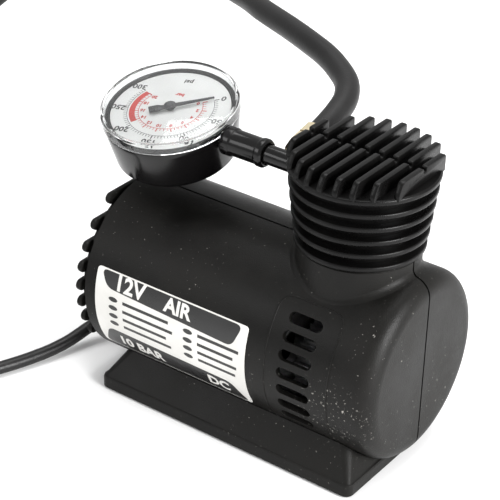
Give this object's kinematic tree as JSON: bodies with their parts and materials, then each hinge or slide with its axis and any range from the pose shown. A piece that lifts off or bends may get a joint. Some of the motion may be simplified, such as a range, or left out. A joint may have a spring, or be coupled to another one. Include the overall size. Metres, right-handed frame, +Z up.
{
  "type": "portable tire inflator",
  "caption": "Small 12 V piston air compressor in a round housing on a saddle foot, with finned cylinder cover, dial pressure gauge, air hose with valve chuck, and coiled power lead with plug.",
  "frame": {"origin": "centre of the foot's flat bottom face", "axes": "+X along the drum towards the finned cylinder cover, -Y towards the label and the vents, +Z up"},
  "size_m": [0.2921, 0.2537, 0.1165],
  "materials": {
    "moulded_black": "fine moulded texture",
    "satin_black": "satin black",
    "gloss_black": "gloss black",
    "rubber": "matt rubber",
    "label": "printed vinyl label",
    "clear": "clear lens",
    "dial_white": "white printed dial plate",
    "steel": "plain steel",
    "brass": "plain brass",
    "nickel": "nickel plated",
    "aluminium": "die cast",
    "copper": "copper windings and segments",
    "ferrite": "sintered ferrite",
    "white_nylon": "natural nylon",
    "carbon": "matt black",
    "seal": "seal rubber"
  },
  "bodies": {
    "base": {"front_shell": "moulded_black", "rear_shell": "moulded_black", "rear_grille": "moulded_black", "foot": "moulded_black", "side_label": "label", "shell_screw_1": "steel", "shell_screw_2": "steel", "shell_screw_3": "steel", "shell_screw_4": "steel", "foot_screw_1": "steel", "foot_screw_2": "steel", "motor_can": "steel", "crank_bearing": "steel", "valve_plate": "steel", "head_bolt_1": "steel", "head_bolt_2": "steel", "magnet_front": "ferrite", "magnet_rear": "ferrite", "motor_end_bell": "white_nylon", "brush_upper": "carbon", "brush_lower": "carbon", "bourdon_tube": "brass", "gear_frame": "aluminium", "cylinder_sleeve": "aluminium", "cylinder_head": "aluminium", "head_cover": "satin_black", "plug_body": "satin_black", "gauge_pipe": "gloss_black", "gauge_collar": "gloss_black", "hose_fitting": "gloss_black", "gauge_case": "gloss_black", "hose_nut": "nickel", "chuck_body": "nickel", "plug_contact": "nickel", "air_hose": "rubber", "chuck_seal": "rubber", "cord_grommet": "rubber", "power_cord": "rubber", "cord_coil": "rubber", "power_cord_end": "rubber", "gauge_lens": "clear", "gauge_dial": "dial_white"},
    "rotor": {"motor_shaft": "steel", "armature": "copper", "commutator": "copper", "pinion": "brass", "cooling_fan": "white_nylon"},
    "crank": {"crank_shaft": "steel", "crank_gear": "white_nylon"},
    "piston": {"piston": "aluminium", "piston_seal": "seal", "wrist_pin": "steel"},
    "rod": {"con_rod": "aluminium", "crank_pin": "steel"},
    "outlet_ball": {"outlet_ball": "steel"},
    "needle": {"gauge_needle": "carbon", "needle_arbor": "brass"},
    "sector": {"sector_gear": "brass"},
    "chuck_lever": {"chuck_lever": "steel"},
    "plug_tip": {"plug_tip": "nickel"}
  },
  "joints": [
    {"name": "motor_spin", "type": "hinge", "parent": "base", "child": "rotor", "pos_m": [-0.0165, 0, 0.0508], "axis": [1, 0, 0], "continuous": true},
    {"name": "crank_spin", "type": "hinge", "parent": "base", "child": "crank", "pos_m": [0.0225, 0, 0.0292], "axis": [1, 0, 0], "continuous": true},
    {"name": "piston_slide", "type": "slide", "parent": "base", "child": "piston", "axis": [0, 0, 1], "range_m": [0, 0.014]},
    {"name": "rod_swing", "type": "hinge", "parent": "piston", "child": "rod", "pos_m": [0.0329, 0, 0.0755], "axis": [1, 0, 0], "range_deg": [-7.5, 7.5]},
    {"name": "outlet_ball_lift", "type": "slide", "parent": "base", "child": "outlet_ball", "axis": [0, 0, 1], "range_m": [0, 0.0012]},
    {"name": "needle_turn", "type": "hinge", "parent": "base", "child": "needle", "pos_m": [-0.0522, -0.0006, 0.1092], "axis": [0, -0.2368, 0.9715], "range_deg": [-242, 0], "stiffness_Nm_per_rad": 0.00002, "springref_deg": 17.19},
    {"name": "sector_turn", "type": "hinge", "parent": "base", "child": "sector", "pos_m": [-0.06348, -0.00246, 0.09948], "axis": [0, -0.2368, 0.9715], "range_deg": [0, 48.5]},
    {"name": "chuck_lever_lift", "type": "hinge", "parent": "base", "child": "chuck_lever", "pos_m": [-0.221, -0.0293, 0.021], "axis": [1, 0, 0], "range_deg": [0, 90]},
    {"name": "plug_tip_press", "type": "slide", "parent": "base", "child": "plug_tip", "axis": [0, 1, 0], "range_m": [-0.003, 0], "stiffness_N_per_m": 800, "springref_m": 0.002}
  ],
  "couplings": [
    {"joint": "crank_spin", "follows": "motor_spin", "ratio": -0.22727},
    {"joint": "sector_turn", "follows": "needle_turn", "ratio": -0.2}
  ]
}
